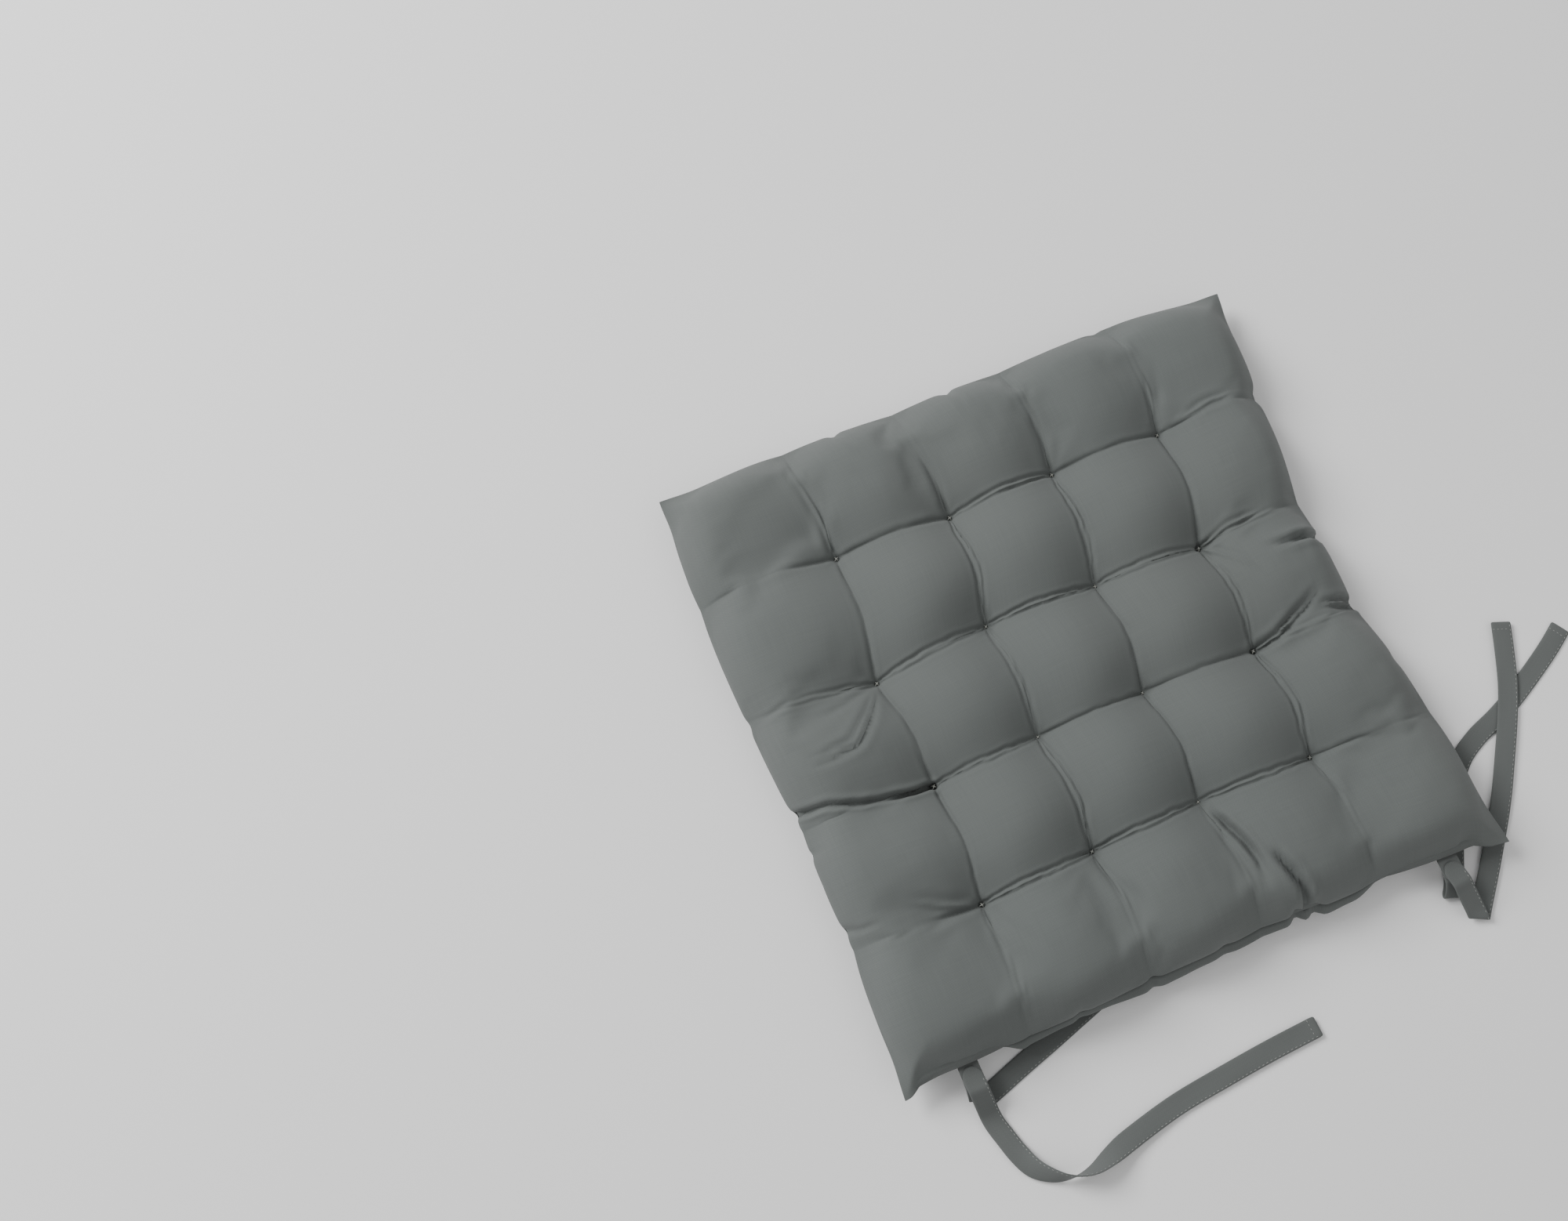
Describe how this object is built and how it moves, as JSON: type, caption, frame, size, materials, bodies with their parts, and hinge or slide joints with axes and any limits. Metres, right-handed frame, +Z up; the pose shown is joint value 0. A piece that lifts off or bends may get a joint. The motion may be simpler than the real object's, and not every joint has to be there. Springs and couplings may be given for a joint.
{
  "type": "chair seat pad",
  "caption": "Square tufted chair seat pad: woven cover over loose filling, sewn tuft points and flat tape ties in pairs on one edge",
  "frame": {"origin": "centre of the underside, on the surface the pad lies on", "axes": "+Z up out of the seat, -Y towards the edge that carries the ties, +X to the right seen from that edge"},
  "size_m": [0.5124, 0.4921, 0.044],
  "materials": {
    "cover_cloth": "matt plain-weave cotton, mid grey with a faint green tint",
    "tie_tape": "matt folded cotton tape stitched along one edge, the same grey",
    "thread": "matt twisted sewing thread, dark grey",
    "wadding": "off-white loose polyester wadding"
  },
  "bodies": {
    "pad": {"top_cover": "cover_cloth", "bottom_cover": "cover_cloth", "filling": "wadding", "seam_allowance": "cover_cloth", "tuft_11": "thread", "tuft_12": "thread", "tuft_13": "thread", "tuft_14": "thread", "tuft_21": "thread", "tuft_22": "thread", "tuft_23": "thread", "tuft_24": "thread", "tuft_31": "thread", "tuft_32": "thread", "tuft_33": "thread", "tuft_34": "thread", "tuft_41": "thread", "tuft_42": "thread", "tuft_43": "thread", "tuft_44": "thread", "left_tie_anchor": "tie_tape", "right_tie_anchor": "tie_tape"},
    "left_tie_upper": {"left_tie_upper": "tie_tape"},
    "left_tie_lower": {"left_tie_lower": "tie_tape"},
    "right_tie_upper": {"right_tie_upper": "tie_tape"},
    "right_tie_lower": {"right_tie_lower": "tie_tape"}
  },
  "joints": [
    {"name": "left_upper_tie_swing", "type": "hinge", "parent": "pad", "child": "left_tie_upper", "pos_m": [-0.16018, -0.20922, 0], "axis": [0, 0, 1], "range_deg": [-90, 0]},
    {"name": "left_lower_tie_swing", "type": "hinge", "parent": "pad", "child": "left_tie_lower", "pos_m": [-0.16018, -0.20922, 0], "axis": [0, 0, 1], "range_deg": [-100, 0]},
    {"name": "right_upper_tie_swing", "type": "hinge", "parent": "pad", "child": "right_tie_upper", "pos_m": [0.16018, -0.20922, 0], "axis": [0, 0, 1], "range_deg": [-90, 0]},
    {"name": "right_lower_tie_swing", "type": "hinge", "parent": "pad", "child": "right_tie_lower", "pos_m": [0.16018, -0.20922, 0], "axis": [0, 0, 1], "range_deg": [-100, 0]}
  ]
}
